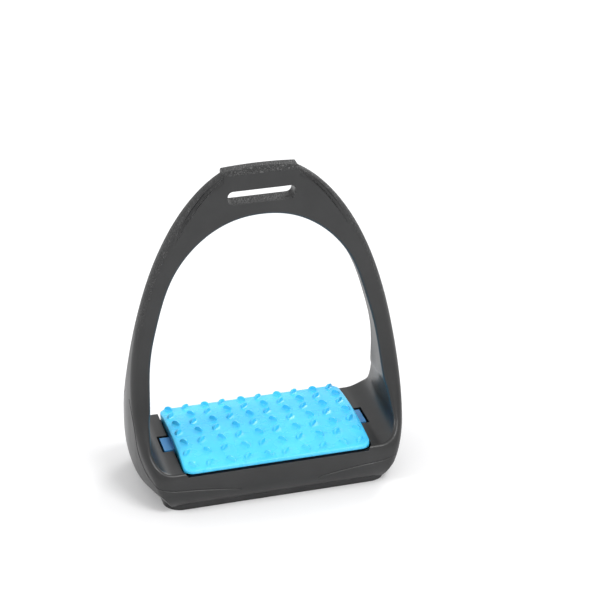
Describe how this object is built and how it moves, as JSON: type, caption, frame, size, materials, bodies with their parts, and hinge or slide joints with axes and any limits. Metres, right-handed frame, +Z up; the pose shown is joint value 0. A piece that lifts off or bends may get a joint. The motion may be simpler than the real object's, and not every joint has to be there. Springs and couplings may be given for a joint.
{
  "type": "stirrup iron",
  "caption": "Composite riding stirrup: arched frame with a leather slot and a soft studded tread that sinks, tilts and rocks on elastomer cushions.",
  "frame": {"origin": "middle of the underside, on the ground plane", "axes": "+X along the foot's width, from leg to leg; -Y towards the front; +Z up to the leather slot"},
  "size_m": [0.1414, 0.0644, 0.17],
  "materials": {
    "frame_nylon": "fine-grained satin moulding",
    "sole_nylon": "satin moulding",
    "steel": "zinc plated",
    "brass": "as turned",
    "elastomer": "matte",
    "inner_nylon": "satin moulding",
    "pin_steel": "ground",
    "tread_plate_blue": "satin moulding",
    "tread_blue": "soft satin"
  },
  "bodies": {
    "root": {"frame": "frame_nylon", "sole_plate": "sole_nylon", "sole_screws": "steel", "screw_inserts": "brass", "press_cushions": "elastomer"},
    "float": {"float_plate": "inner_nylon", "travel_bolts": "steel", "tilt_pin": "pin_steel", "tilt_buffers": "elastomer"},
    "cradle": {"cradle": "inner_nylon", "rock_buffers": "elastomer"},
    "tread": {"tread_plate": "tread_plate_blue", "rock_pins": "pin_steel", "tread_pad": "tread_blue"}
  },
  "joints": [
    {"name": "press", "type": "slide", "parent": "root", "child": "float", "axis": [0, 0, -1], "range_m": [0, 0.0007], "stiffness_N_per_m": 20000, "springref_m": -0.0002, "deforming": ["press_cushions"]},
    {"name": "tilt", "type": "hinge", "parent": "float", "child": "cradle", "pos_m": [0, 0, 0.014], "axis": [0, 1, 0], "range_deg": [-0.75, 0.75], "stiffness_Nm_per_rad": 20, "deforming": ["tilt_buffers"]},
    {"name": "rock", "type": "hinge", "parent": "cradle", "child": "tread", "pos_m": [0, 0, 0.014], "axis": [-1, 0, 0], "range_deg": [0, 4], "stiffness_Nm_per_rad": 10, "springref_deg": -0.57, "deforming": ["rock_buffers"]}
  ]
}
